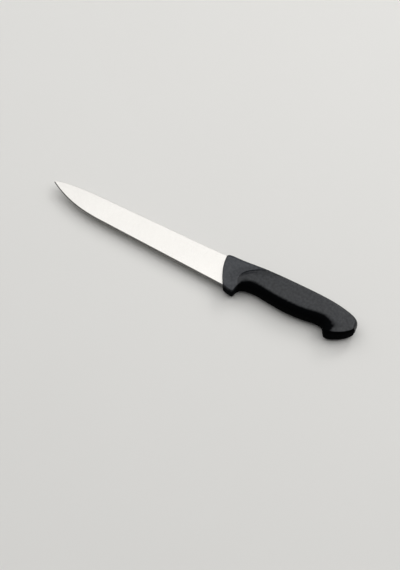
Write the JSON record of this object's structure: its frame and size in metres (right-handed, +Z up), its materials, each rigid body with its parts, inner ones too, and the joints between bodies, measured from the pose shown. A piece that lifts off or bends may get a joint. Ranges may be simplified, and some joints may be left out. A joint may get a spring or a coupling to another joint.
{
  "type": "chopping knife",
  "caption": "Kitchen knife with a slim pointed taper-ground steel blade moulded into a black handle with a guard, finger hollow, soft grip and beaked butt.",
  "frame": {"origin": "under the middle of the knife's box, on the surface that its right side lies on", "axes": "+X along the knife from tip to butt, +Y from the cutting edge to the spine, +Z up out of the left side"},
  "size_m": [0.321, 0.036, 0.019],
  "materials": {
    "blade_steel": "satin",
    "hard_plastic": "satin",
    "soft_plastic": "matte"
  },
  "bodies": {
    "root": {"blade": "blade_steel", "handle_core": "hard_plastic", "soft_grip": "soft_plastic"}
  },
  "joints": []
}
